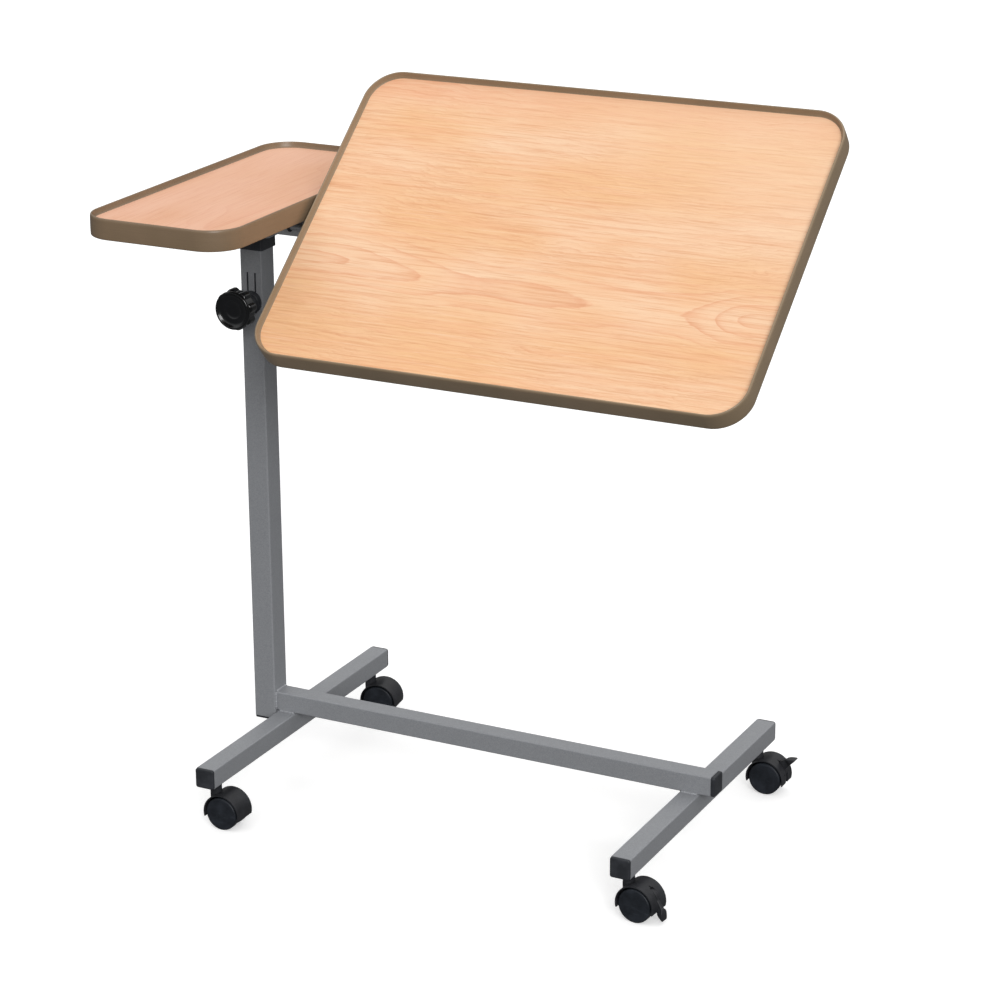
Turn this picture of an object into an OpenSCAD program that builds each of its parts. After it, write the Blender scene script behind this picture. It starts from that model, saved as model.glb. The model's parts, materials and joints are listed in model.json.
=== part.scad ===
// Overbed table on four twin-wheel casters: a square steel column stands at the
// left end of a low base and carries a fixed side top and a wide tilting top.
// Frame: X along the base rail, Y to the back, Z up, floor at z = 0, origin under
// the middle of the bounding box. The tilting top is drawn at its steepest tilt.

/* [Main top] */
// Width of the tilting top
main_w = 610; // [560:1:640]
// Depth of the tilting top
main_d = 420; // [380:1:440]
// Tilt of the main top, front edge down
tilt = 39.7; // [0:0.1:40]

/* [Side top] */
// Width of the fixed side top
side_w = 201; // [190:1:201]
// Depth of the fixed side top
side_d = 450; // [400:1:460]

/* [Edging] */
// Height of the plastic edging
edge_h = 25.2; // [24:0.2:26]
// Outline radius of the corners of the tops
corner_r = 42; // [30:1:60]
// Thickness of the edging wall
edge_t = 2.6; // [2:0.1:3.5]
// Width of the raised lip where it meets the laminate
lip_w = 5.4; // [4.8:0.1:6]

/* [Column] */
// Height of the upper face of the side top
top_z = 760.8; // [760.8:0.1:765]
// Outside size of the square column tube
col = 30; // [29:0.5:31]
// Wall of every square tube
wall = 1.5; // [1.2:0.1:1.5]
// Outside size of the sliding inner tube
inner = 25; // [24:0.5:25.5]
// Height of the clamp knob (heights here count from 2 mm below the floor)
knob_z = 616; // [600:1:630]

/* [Base] */
// Outside size of the base tubes
leg = 25; // [24:0.5:26]
// Height of the underside of the legs
leg_z = 58; // [58:0.5:62]
// Left face of the left leg, from the column's middle
leg_x1 = 18; // [16:0.5:20]
// Left face of the right leg, from the column's middle
leg_x2 = 569; // [540:1:575]
// Front end of the legs
leg_y0 = -205.5; // [-215:0.5:-200]
// Back end of the legs
leg_y1 = 227.5; // [220:0.5:228]

/* [Casters] */
// Wheel radius
wheel_r = 20.7; // [20.2:0.1:20.7]
// Trail of the wheel axle behind the stem
trail = 15.2; // [14.2:0.2:15.6]

/* [Hidden] */
$fn = 64;
ox = 307; oy = -0.5; oz = 2;
e = 0.05;
board_h = 15.2; lam_h = 0.8; low_lip = 2; crest_w = 2.6;
board_z = top_z - edge_h + low_lip;
col_z0 = 72; col_z1 = 696; collar_z0 = 681; collar_z1 = 700;
arm_z = 703; arm_x0 = -75; arm_x1 = 425;
py = -20; pz = 717.3;
main_x0 = 104.5; main_y = -17; side_y = -6;
rail_z = leg_z + leg; rail_x1 = 608.5;
wz = oz + wheel_r;
hood_r = 24.6; hood_ri = 23.1; hood_w = 33; web_w = 11; hood_dip = 6.3;
stem_y0 = -183; stem_y1 = 203;
lx1 = leg_x1 + leg/2; lx2 = leg_x2 + leg/2;
sx = 413; lpy = -48; lpz = 4;
grey = [0.50, 0.51, 0.53]; black = [0.09, 0.09, 0.10]; brown = [0.52, 0.43, 0.35];
beech = [0.95, 0.78, 0.60]; pink = [0.93, 0.74, 0.62]; chip = [0.72, 0.60, 0.45]; steel = [0.70, 0.71, 0.73];

// ---- helpers -------------------------------------------------------------
module P() translate([-ox, -oy, -oz]) children();
module tilted() P() translate([0, py, pz]) rotate([tilt, 0, 0]) translate([0, -py, -pz]) children();
// rounded rectangle centred on the origin
module rr(w, d, r) {
  square([w - 2*r, d], center = true);
  square([w, d - 2*r], center = true);
  for (a = [-1, 1], b = [-1, 1]) translate([a*(w/2 - r), b*(d/2 - r)]) circle(r, $fn = 96);
}
module slab(w, d, r, z0, z1) translate([0, 0, z0]) linear_extrude(z1 - z0) rr(w, d, r);
// ring between two offsets of the same rounded outline
module ring(w, d, r, o0, o1, z0, z1) difference() {
  slab(w - 2*o0, d - 2*o0, r - o0, z0, z1);
  slab(w - 2*o1, d - 2*o1, r - o1, z0 - 1, z1 + 1);
}
// rounded opening whose wall leans from offset b at z0 to offset t at z1
module well(w, d, r, b, t, z0, z1) translate([0, 0, z0]) {
  h = z1 - z0;
  for (i = [-1, 1], j = [-1, 1]) translate([i*(w/2 - r), j*(d/2 - r), 0]) cylinder(r1 = r - b, r2 = r - t, h = h, $fn = 96);
  translate([0, d/2 - r, 0]) rotate([90, 0, 0]) linear_extrude(d - 2*r) polygon([[b - w/2, 0], [w/2 - b, 0], [w/2 - t, h], [t - w/2, h]]);
  translate([r - w/2, 0, 0]) rotate([90, 0, 90]) linear_extrude(w - 2*r) polygon([[b - d/2, 0], [d/2 - b, 0], [d/2 - t, h], [t - d/2, h]]);
}
module edging(w, d) {
  ring(w, d, corner_r, 0, edge_t, 0, edge_h - 0.8);
  // the raised lip: narrow crest, inner wall leaning in to the laminate
  difference() {
    union() {
      slab(w - 0.6, d - 0.6, corner_r - 0.3, low_lip + board_h + e, edge_h - 0.8);
      slab(w - 1.2, d - 1.2, corner_r - 0.6, edge_h - 0.9, edge_h);
    }
    well(w, d, corner_r, lip_w, crest_w - 0.2, low_lip + board_h, edge_h + 1);
  }
  ring(w, d, corner_r, 1, 6, 0, low_lip);
  ring(w, d, corner_r, edge_t - 1, 10, 10, 12);
}
module board(w, d) difference() {
  slab(w - 2*edge_t - 2*e, d - 2*edge_t - 2*e, corner_r - edge_t - e, low_lip + e, low_lip + board_h);
  ring(w, d, corner_r, 0, 10.4, 9.8, 12.2);
}
module laminate(w, d) slab(w - 2*lip_w - 2*e, d - 2*lip_w - 2*e, corner_r - lip_w - e, low_lip + board_h, low_lip + board_h + lam_h);
// square tube along Z from z0 to z1 with a small outside corner radius
module tube(s, t, z0, z1) translate([0, 0, z0]) difference() {
  linear_extrude(z1 - z0) rr(s, s, 2);
  translate([0, 0, -1]) linear_extrude(z1 - z0 + 2) rr(s - 2*t, s - 2*t, 0.8);
}
module tube_x(s, t, x0, x1) rotate([0, 90, 0]) tube(s, t, x0, x1);
module tube_y(s, t, y0, y1) rotate([-90, 0, 0]) tube(s, t, y0, y1);
module cyl_x(r, x0, x1) translate([x0, 0, 0]) rotate([0, 90, 0]) cylinder(r = r, h = x1 - x0);
module cyl_y(r, y0, y1) translate([0, y0, 0]) rotate([-90, 0, 0]) cylinder(r = r, h = y1 - y0);
// push-in square cap: plug along +Z into the tube, head below z = 0
module cap(s, t, proud) {
  translate([0, 0, -proud]) linear_extrude(proud) rr(s, s, 3);
  linear_extrude(14) difference() { rr(s - 2*t - 0.2, s - 2*t - 0.2, 1); rr(s - 2*t - 3.4, s - 2*t - 3.4, 1); }
}

// ---- column --------------------------------------------------------------
module column_tube() color(grey) P() difference() {
  tube(col, wall, col_z0, col_z1);
  for (s = [-1, 1]) translate([s*5.3 - 1.25, -col/2 - 1, knob_z - 14]) cube([2.5, wall + 2, 50.5]);
  translate([0, 0, knob_z]) cyl_y(4.5, -col/2 - 1, -col/2 + wall + 1);
}
module column_collar() color(black) P() difference() {
  union() {
    translate([0, 0, collar_z0]) linear_extrude(collar_z1 - collar_z0) rr(col + 5, col + 5, 3.5);
    translate([0, 0, collar_z0 - 57]) linear_extrude(58) rr(inner + 1.9, inner + 1.9, 1);
  }
  translate([0, 0, collar_z0 - 60]) linear_extrude(90) rr(inner + 0.5, inner + 0.5, 2.1);
  translate([0, 0, collar_z0 - 1]) linear_extrude(col_z1 - collar_z0 + 1.05) difference() {
    rr(col + 0.1, col + 0.1, 2.05); rr(col - 2*wall - 0.1, col - 2*wall - 0.1, 0.8); }
}
module column_foot_plug() color(black) P() translate([0, 0, col_z0]) cap(col, wall, 2.5);

// ---- base ----------------------------------------------------------------
module base_rail() color(grey) P() translate([0, 0, rail_z + leg/2]) tube_x(leg, wall, col/2, rail_x1);
module rail_end_cap() color(black) P() translate([rail_x1, 0, rail_z + leg/2]) rotate([0, -90, 0]) cap(leg, wall, 5);
module leg_tube(x) translate([x, 0, leg_z + leg/2]) difference() {
  tube_y(leg, wall, leg_y0, leg_y1);
  for (y = [stem_y0, stem_y1]) translate([0, y, -leg/2 - 1]) cylinder(r = 7.05, h = wall + 2);
}
module left_leg() color(grey) P() leg_tube(lx1);
module right_leg() color(grey) P() leg_tube(lx2);
module leg_end_caps() color(black) P() for (x = [lx1, lx2]) {
  translate([x, leg_y0, leg_z + leg/2]) rotate([-90, 0, 0]) cap(leg, wall, 4);
  translate([x, leg_y1, leg_z + leg/2]) rotate([90, 0, 0]) cap(leg, wall, 2.5);
}
module at_stems() for (x = [lx1, lx2], y = [stem_y0, stem_y1]) translate([x, y, 0]) children();
module stem_sockets() color(black) P() at_stems() difference() {
  union() {
    translate([0, 0, leg_z - 1.5]) cylinder(r = 9.5, h = 1.5);
    translate([0, 0, leg_z - 0.5]) cylinder(r = 7, h = 21);
  }
  translate([0, 0, leg_z - 2]) cylinder(r = 5.55, h = 30);
}
module caster_stems() color(steel) P() at_stems() {
  translate([0, 0, 36]) cylinder(r = 4, h = 19);
  translate([0, 0, 54.4]) cylinder(r = 7.5, h = 1.8);
  translate([0, 0, 56]) cylinder(r = 5.5, h = 21);
}
module bead(l) translate([0, 0, -l/2]) linear_extrude(l) polygon([[0, 0], [3, 0], [1.8, 1.8], [0, 3]]);
module weld_beads() color(grey) P() {
  // rail to column: both sides and top
  for (s = [-1, 1]) translate([col/2, s*leg/2, rail_z + leg/2]) scale([1, s, 1]) bead(leg - 4);
  // rail underside to the upper faces of the two legs
  for (s = [-1, 1], x = [leg_x1, leg_x1 + leg, leg_x2, leg_x2 + leg]) 
    translate([x, 0, rail_z]) rotate([90, 0, 0]) scale([x == leg_x1 || x == leg_x2 ? -1 : 1, -1, 1]) bead(leg - 6);
  for (s = [-1, 1], x = [lx1, lx2]) translate([x, s*leg/2, rail_z]) rotate([0, -90, 0]) scale([1, s, 1]) bead(leg - 4);
  // column to the side of the left leg
  translate([col/2, -10, col_z0 + 0.5]) cube([leg_x1 - col/2, 20, leg_z + leg - col_z0 - 1]);
}

// ---- height clamp ----------------------------------------------------------
module clamp_boss() color(black) P() translate([0, 0, knob_z]) difference() {
  union() { cyl_y(10.5, -col/2 - 13, -col/2); cyl_y(14, -col/2 - 3.4, -col/2); }
  cyl_y(4.05, -col/2 - 14, 0);
  cyl_y(4.6, -col/2 - 6, 1);
}
module clamp_pad() color([0.72, 0.56, 0.28]) P() translate([0, 0, knob_z]) cyl_y(4.3, -17, -inner/2 - 0.05);
module clamp_stud() color(steel) P() translate([0, 0, knob_z]) cyl_y(4, -50, -17.05);
module clamp_knob() color(black) P() translate([0, 0, knob_z]) difference() {
  union() {
    translate([0, -43, 0]) rotate([90, 0, 0]) linear_extrude(14.5) { circle(22.6); for (i = [0:7]) rotate(i*45 + 11) translate([20.4, 0]) circle(5.6, $fn = 32); }
    cyl_y(23.8, -61.5, -57.4);
    cyl_y(11.5, -43.1, -28.6);
  }
  cyl_y(19, -63, -57.9);
  cyl_y(4.02, -50.1, -20);
}

// ---- lifting head ------------------------------------------------------------
module inner_tube() color(grey) P() tube(inner, wall, 170, 700);
module inner_glide() color(black) P() difference() {
  union() {
    translate([0, 0, 158]) linear_extrude(12) rr(26.8, 26.8, 0.8);
    translate([0, 0, 170]) linear_extrude(16) rr(inner - 2*wall - 0.2, inner - 2*wall - 0.2, 0.7);
  }
  translate([0, 0, 150]) cylinder(r = 7, h = 60);
}
module head_plate() color(grey) P() translate([0, 0, 700]) linear_extrude(3) rr(62, 48, 5);
module support_arm() color(grey) P() translate([0, 0, arm_z + leg/2]) tube_x(leg, wall, arm_x0, arm_x1);
module arm_end_caps() color(black) P() translate([0, 0, arm_z + leg/2]) {
  translate([arm_x0, 0, 0]) rotate([0, 90, 0]) cap(leg, wall, 3);
  translate([arm_x1, 0, 0]) rotate([0, -90, 0]) cap(leg, wall, 3);
}
module side_top_brackets() color(grey) P() for (x = [-55, 55]) translate([x, side_y, 0]) difference() {
  translate([-12.5, -85, arm_z + leg]) cube([25, 170, board_z + e - arm_z - leg]);
  translate([-10.5, -86, arm_z + leg - 1]) cube([21, 172, board_z - arm_z - leg - 1.5]);
  for (y = [-70, 70]) translate([0, y, board_z - 6]) cylinder(r = 2.3, h = 8);
}
module tilt_axle() color(steel) P() translate([0, py, pz]) cyl_x(4, 60, 424);
module axle_lug() color(grey) P() for (x = [84, 380]) translate([x, py, pz]) rotate([90, 0, 90]) linear_extrude(4)
  difference() { union() { circle(7.2); translate([0, -7.2]) square([7.5, 14.4]); } circle(4.03); }
// tooth sector around the axle, in the Y-Z plane
module tilt_sector() color(steel) P() translate([sx, py, pz]) rotate([90, 0, 90]) linear_extrude(4) difference() {
  union() {
    circle(7.4);
    intersection() { circle(29.5); polygon([[0, 3], [-0.1, 0], [-40, -8.6], [-40, -40], [-6, -40], [7.5, -14.3], [7.5, 7]]); }
    translate([0, -8]) square([7.5, 16]);
  }
  circle(4.03);
  for (a = [196.5:9.93:240]) rotate(a) translate([29.5, 0]) circle(2.2, $fn = 24);
}
module axle_caps() color(black) P() translate([0, py, pz]) for (s = [0, 1]) difference() {
  cyl_x(6.5, s == 0 ? 56.5 : 420, s == 0 ? 61 : 426.5);
  cyl_x(4.03, s == 0 ? 60 : 419, s == 0 ? 62 : 424);
}

// ---- side top ------------------------------------------------------------------
module SP() P() translate([0, side_y, top_z - edge_h]) children();
module side_board() color(chip) difference() {
  SP() board(side_w, side_d);
  P() for (x = [-55, 55], y = [-70, 70]) translate([x, side_y + y, board_z - 1]) cylinder(r = 2.05, h = 12);
}
module side_laminate() color(pink) SP() laminate(side_w, side_d);
module side_edging() color(brown) SP() edging(side_w, side_d);
module screw() { translate([0, 0, -0.5]) cylinder(r = 2, h = 12.5); translate([0, 0, -2]) cylinder(r = 4, h = 2); }
module side_top_screws() color(steel) P() for (x = [-55, 55], y = [-70, 70]) translate([x, side_y + y, board_z - 2.5]) screw();

// ---- main top (drawn flat, then tilted about the axle) ---------------------------
module MP() translate([main_x0 + main_w/2, main_y, top_z - edge_h]) children();
hinge_holes = [for (x = [148, 183, 349, 384], y = [-75, 40]) [x, main_y + y]];
module main_board() color(chip) tilted() difference() {
  MP() board(main_w, main_d);
  for (h = hinge_holes) translate([h[0], h[1], board_z - 1]) cylinder(r = 2.05, h = 12);
}
module main_laminate() color(beech) tilted() MP() laminate(main_w, main_d);
module main_edging() color(brown) tilted() MP() edging(main_w, main_d);
module hinge_plate(x0, x1, hx) difference() {
  translate([x0, main_y - 90, board_z + e - 3]) cube([x1 - x0, 145, 3]);
  for (x = hx, y = [-75, 40]) translate([x, main_y + y, board_z - 6]) cylinder(r = 2.3, h = 8);
}
module ear(x, pin) translate([x, py, pz]) rotate([90, 0, 90]) linear_extrude(3) difference() {
  union() {
    circle(6.6);
    polygon(pin ? [[6.6, 0], [6.6, 18.2], [-72, 18.2], [-72, 12], [-56, -4], [-42, -6], [-6, -4]] : [[6.6, 0], [6.6, 18.2], [-34, 18.2], [-34, 14], [-6.6, 0]]);
  }
  circle(5.05);
  if (pin) translate([lpy, lpz]) circle(3.03);
}
module hinge_bracket_left() color(grey) tilted() { hinge_plate(133, 198, [148, 183]); ear(133, false); }
module hinge_bracket_right() color(grey) tilted() { hinge_plate(334, 404, [349, 384]); ear(401, true); }
module hinge_bushes() color(black) tilted() translate([0, py, pz]) for (x = [133, 401]) difference() {
  union() { cyl_x(5, x, x + 3); cyl_x(6.4, x - 1.5, x); cyl_x(6.4, x + 3, x + 4.5); }
  cyl_x(4.06, x - 3, x + 6);
}
module main_top_screws() color(steel) tilted() for (h = hinge_holes) translate([h[0], h[1], board_z - 2.95]) screw();
module lever_pin() color(steel) tilted() translate([0, py + lpy, pz + lpz]) { cyl_x(3, 401, 420); cyl_x(4.6, 399, 401); cyl_x(4.6, 418, 420.5); }

// ---- release lever ------------------------------------------------------------------
module release_lever() color(steel) tilted() translate([sx, py + lpy, pz + lpz]) rotate([90, 0, 90]) linear_extrude(4) difference() {
  union() {
    circle(7);
    polygon([[0, 6.4], [6.5, 2.5], [16.2, -7.6], [18.2, -10.2], [15.6, -12.4], [4, -6.4], [-6, -6.6], [-88, -12], [-88, -4], [-6, 5]]);
  }
  circle(3.05);
}
module lever_grip() color(black) tilted() translate([sx + 2, py + lpy, pz + lpz]) difference() {
  translate([-9, -128, -13.2]) cube([18, 46, 10]);
  translate([-2.05, -88.05, -20]) cube([4.1, 20, 30]);
  translate([0, -128, -13.2]) for (s = [-1, 1]) translate([s*9, 0, 0]) rotate([0, 0, 45]) cube([6, 6, 30], center = true);
}
module lever_spring() color(steel) tilted() translate([407, py + lpy, pz + lpz]) rotate([0, 90, 0]) rotate_extrude() 
  polygon(concat([[3.3, 0.3], [4.6, 0.3]], [for (i = [0:3]) each [[5.4, 0.9 + i*1.1], [4.8, 1.45 + i*1.1]]], [[4.6, 4.9], [3.3, 4.9]]));

// ---- casters (drawn with the stem on the Z axis, the wheels trailing to +X) -----------
module C(x, y, yaw) P() translate([x, y, 0]) rotate([0, 0, yaw]) children();
brake_x = 12.5; brake_z = 8;
module hood(braked) difference() {
  union() {
    difference() {
      translate([trail, 0, wz]) cyl_y(hood_r, -hood_w/2, hood_w/2);
      for (s = [-1, 1]) translate([trail, 0, wz]) cyl_y(hood_ri, s > 0 ? web_w/2 : -hood_w/2 - 1, s > 0 ? hood_w/2 + 1 : -web_w/2);
      // open below the axle
      translate([trail - 40, -30, wz - 60]) cube([80, 60, 60 - hood_dip]);
    }
    translate([0, 0, 32]) cylinder(r = 7, h = 22);
  }
  translate([0, 0, 35.5]) cylinder(r = 4.06, h = 20);
  translate([0, 0, 41]) for (s = [-1, 1]) translate([trail, 0, wz - 41]) cyl_y(hood_ri, s > 0 ? web_w/2 : -hood_w/2 - 1, s > 0 ? hood_w/2 + 1 : -web_w/2);
  translate([trail, 0, wz]) cyl_y(3.03, -web_w/2 - 1, web_w/2 + 1);
  if (braked) {
    translate([trail + brake_x, 0, wz + brake_z]) {
      cyl_y(2.05, -10, 10);
      // slot for the lever's cam and arm, and the narrow slit above it
      cyl_y(11.2, -3.1, 3.1);
      rotate([90, 0, 0]) translate([0, 0, -3.1]) linear_extrude(6.2) polygon([[0, 0], [-1, 11.1], [17, 24], [40, 0], [17, -40], [-3, -10.7]]);
      translate([-3, -1, 4]) cube([12, 2, 10]);
    }
  }
}
module c_axle() translate([trail, 0, wz]) cyl_y(3, -14.2, 14.2);
module c_wheel(s) translate([trail, 0, wz]) scale([1, s, 1]) difference() {
  union() { cyl_y(wheel_r, 6.4, 15.3); cyl_y(wheel_r - 1.4, 15.2, 16.2); cyl_y(6.5, 5.8, 6.5); }
  cyl_y(3.06, 5, 14.4);
}
// brake lever: hub and cam in the slot, tab outside; a = angle of the tab above +X
module c_brake(a) translate([trail + brake_x, 0, wz + brake_z]) rotate([0, -a, 0]) {
  cyl_y(2, -5.4, 5.4);
  cyl_y(10.7, -2.8, 2.8);
  rotate([90, 0, 0]) translate([0, 0, -2.8]) linear_extrude(5.6) polygon([[0, -4.4], [8, -4.2], [20.5, -1.7], [20.5, 6.4], [14, 7.6], [6, 8.4], [0, 8.8]]);
  rotate([90, 0, 0]) translate([0, 0, -6]) linear_extrude(12) polygon([[20.2, -1.6], [24, -1.2], [30.2, -0.5], [30.5, 0.4], [27, 3.2], [23, 5.5], [19.5, 6.9], [18.6, 5.2], [19.2, 2]]);
}
fl = [lx1, stem_y0, 0]; bl = [lx1, stem_y1, 8]; fr = [lx2, stem_y0, -5]; br = [lx2, stem_y1, 0];
module caster_fl_hood() color(black) C(fl[0], fl[1], fl[2]) hood(false);
module caster_fl_axle() color(steel) C(fl[0], fl[1], fl[2]) c_axle();
module caster_fl_wheel_f() color(black) C(fl[0], fl[1], fl[2]) c_wheel(-1);
module caster_fl_wheel_b() color(black) C(fl[0], fl[1], fl[2]) c_wheel(1);
module caster_bl_hood() color(black) C(bl[0], bl[1], bl[2]) hood(false);
module caster_bl_axle() color(steel) C(bl[0], bl[1], bl[2]) c_axle();
module caster_bl_wheel_f() color(black) C(bl[0], bl[1], bl[2]) c_wheel(-1);
module caster_bl_wheel_b() color(black) C(bl[0], bl[1], bl[2]) c_wheel(1);
module caster_fr_hood() color(black) C(fr[0], fr[1], fr[2]) hood(true);
module caster_fr_axle() color(steel) C(fr[0], fr[1], fr[2]) c_axle();
module caster_fr_wheel_f() color(black) C(fr[0], fr[1], fr[2]) c_wheel(-1);
module caster_fr_wheel_b() color(black) C(fr[0], fr[1], fr[2]) c_wheel(1);
module caster_fr_brake() color(black) C(fr[0], fr[1], fr[2]) c_brake(-52);
module caster_br_hood() color(black) C(br[0], br[1], br[2]) hood(true);
module caster_br_axle() color(steel) C(br[0], br[1], br[2]) c_axle();
module caster_br_wheel_f() color(black) C(br[0], br[1], br[2]) c_wheel(-1);
module caster_br_wheel_b() color(black) C(br[0], br[1], br[2]) c_wheel(1);
module caster_br_brake() color(black) C(br[0], br[1], br[2]) c_brake(39.5);

column_tube();
column_collar();
column_foot_plug();
base_rail();
rail_end_cap();
left_leg();
right_leg();
leg_end_caps();
stem_sockets();
caster_stems();
weld_beads();
clamp_boss();
clamp_pad();
clamp_stud();
clamp_knob();
inner_tube();
inner_glide();
head_plate();
support_arm();
arm_end_caps();
side_top_brackets();
tilt_axle();
axle_lug();
tilt_sector();
axle_caps();
side_board();
side_laminate();
side_edging();
side_top_screws();
main_board();
main_laminate();
main_edging();
hinge_bracket_left();
hinge_bracket_right();
hinge_bushes();
main_top_screws();
lever_pin();
release_lever();
lever_grip();
lever_spring();
caster_fl_hood();
caster_fl_axle();
caster_fl_wheel_f();
caster_fl_wheel_b();
caster_bl_hood();
caster_bl_axle();
caster_bl_wheel_f();
caster_bl_wheel_b();
caster_fr_hood();
caster_fr_axle();
caster_fr_wheel_f();
caster_fr_wheel_b();
caster_fr_brake();
caster_br_hood();
caster_br_axle();
caster_br_wheel_f();
caster_br_wheel_b();
caster_br_brake();
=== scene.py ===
# Looks of the overbed table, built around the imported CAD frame.
import bpy, bmesh, json, math
from math import sin, cos, pi, sqrt, asin
from mathutils import Vector, Matrix

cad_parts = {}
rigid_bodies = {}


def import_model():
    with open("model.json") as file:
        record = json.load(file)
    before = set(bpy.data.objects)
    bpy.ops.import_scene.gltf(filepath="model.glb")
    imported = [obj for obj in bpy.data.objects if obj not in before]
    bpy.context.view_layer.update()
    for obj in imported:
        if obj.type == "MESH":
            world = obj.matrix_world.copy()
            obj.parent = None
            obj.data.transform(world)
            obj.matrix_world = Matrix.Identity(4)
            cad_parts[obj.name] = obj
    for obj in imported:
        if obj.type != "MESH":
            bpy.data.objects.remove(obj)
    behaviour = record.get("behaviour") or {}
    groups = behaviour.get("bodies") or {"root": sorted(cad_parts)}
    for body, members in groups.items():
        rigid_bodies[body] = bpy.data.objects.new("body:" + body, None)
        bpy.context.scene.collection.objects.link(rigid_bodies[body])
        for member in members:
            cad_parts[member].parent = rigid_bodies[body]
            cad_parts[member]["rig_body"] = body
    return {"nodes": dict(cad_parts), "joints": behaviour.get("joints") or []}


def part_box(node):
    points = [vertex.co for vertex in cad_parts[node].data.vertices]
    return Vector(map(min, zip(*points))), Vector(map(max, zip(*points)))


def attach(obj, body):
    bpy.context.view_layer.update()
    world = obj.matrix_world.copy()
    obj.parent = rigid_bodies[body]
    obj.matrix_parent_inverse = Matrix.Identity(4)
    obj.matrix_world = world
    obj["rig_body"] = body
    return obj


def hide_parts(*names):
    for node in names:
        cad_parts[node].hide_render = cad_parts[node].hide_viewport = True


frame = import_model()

rad = math.radians
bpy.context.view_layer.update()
scene = bpy.context.scene
NODES = frame["nodes"]
JOINTS = {j["name"]: j for j in frame["joints"]}

# ---------------------------------------------------------------- camera
AZ, EL, ROLL = 27.639, 18.182, -0.604
cam_data = bpy.data.cameras.new("camera")
cam = bpy.data.objects.new("camera", cam_data)
scene.collection.objects.link(cam)
scene.camera = cam
cam_data.sensor_width = 36.0
cam_data.lens = 109.444
cam_data.shift_x, cam_data.shift_y = 0.0366, -0.0542
cam_data.clip_start, cam_data.clip_end = 0.1, 60.0
_a, _e, _r = rad(AZ), rad(EL), rad(ROLL)
_back = Vector((sin(_a) * cos(_e), -cos(_a) * cos(_e), sin(_e)))
_right = Vector((0, 0, 1)).cross(_back).normalized()
_up = _back.cross(_right)
_r2 = _right * cos(_r) + _up * sin(_r)
_u2 = -_right * sin(_r) + _up * cos(_r)
CAM_AT = Vector((1.5646, -3.0409, 1.5935))
cam.matrix_world = Matrix((
    (_r2.x, _u2.x, _back.x, CAM_AT.x),
    (_r2.y, _u2.y, _back.y, CAM_AT.y),
    (_r2.z, _u2.z, _back.z, CAM_AT.z),
    (0, 0, 0, 1)))

# ---------------------------------------------------------------- frames of reference
# Shapes are written in millimetres from the column's middle; W() takes them to metres in the row frame.
_lo, _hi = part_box("column_tube")
CX, CY = (_lo.x + _hi.x) / 2, (_lo.y + _hi.y) / 2


def W(p):
    return (CX + p[0] * 0.001, CY + p[1] * 0.001, p[2] * 0.001)


def mm(node):
    """A node's box in millimetres from the column's middle: (lo, hi)."""
    lo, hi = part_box(node)
    return (Vector(((lo.x - CX) * 1000, (lo.y - CY) * 1000, lo.z * 1000)),
            Vector(((hi.x - CX) * 1000, (hi.y - CY) * 1000, hi.z * 1000)))


_tj = JOINTS["top_tilt"]
PY, PZ = (_tj["pos_m"][1] - CY) * 1000, _tj["pos_m"][2] * 1000
TILT_DEG = 39.7
TILT = Matrix.Translation((0, PY, PZ)) @ Matrix.Rotation(rad(TILT_DEG), 4, "X") @ Matrix.Translation((0, -PY, -PZ))
TO_X = Matrix.Rotation(rad(90), 4, "Y")        # local +Z becomes +X
TO_NX = Matrix.Rotation(rad(-90), 4, "Y")      # local +Z becomes -X
TO_NY = Matrix.Rotation(rad(90), 4, "X")       # local +Z becomes -Y
TO_PY = Matrix.Rotation(rad(-90), 4, "X")      # local +Z becomes +Y


def at(x, y, z):
    return Matrix.Translation((x, y, z))


# ---------------------------------------------------------------- mesh code
class Shape:
    def __init__(self):
        self.v, self.f, self.m = [], [], []

    def add(self, vf, xf=None, mat=0):
        v, f = vf
        n = len(self.v)
        self.v += [tuple(xf @ Vector(p)) if xf is not None else tuple(p) for p in v]
        self.f += [tuple(i + n for i in q) for q in f]
        self.m += [mat] * len(f)
        return self


def skin(rings, wrap=False, ends=True):
    n, m = len(rings[0]), len(rings)
    v = [p for r in rings for p in r]
    f = []
    for i in range(m if wrap else m - 1):
        a, b = i * n, ((i + 1) % m) * n
        for j in range(n):
            k = (j + 1) % n
            f.append((a + j, a + k, b + k, b + j))
    if ends and not wrap:
        f.append(tuple(range(n - 1, -1, -1)))
        f.append(tuple((m - 1) * n + j for j in range(n)))
    return v, f


def rr(w, d, r, n=8):
    r = max(min(r, w / 2, d / 2), 1e-4)
    out = []
    for sx, sy, a0 in ((1, 1, 0), (-1, 1, 90), (-1, -1, 180), (1, -1, 270)):
        for i in range(n + 1):
            a = rad(a0 + 90 * i / n)
            out.append((sx * (w / 2 - r) + r * cos(a), sy * (d / 2 - r) + r * sin(a)))
    return out


def prism(w, d, r, profile, n=8, wrap=False, xs=0.0, ys=0.0):
    """Rounded rectangle w x d swept through (inset, height) pairs."""
    rings = [[(x + xs, y + ys, z) for x, y in rr(w - 2 * o, d - 2 * o, max(r - o, 0.05), n)] for o, z in profile]
    return skin(rings, wrap)


def tube(s, t, z0, z1, r=2.0, c=0.3, n=6):
    prof = [(0, z0 + c), (0, z1 - c), (c * 0.3, z1 - c * 0.3), (c, z1), (t - c * 0.5, z1), (t, z1 - c * 0.5),
            (t, z0 + c * 0.5), (t - c * 0.5, z0), (c, z0), (c * 0.3, z0 + c * 0.3)]
    return prism(s, s, r, prof, n, wrap=True)


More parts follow.
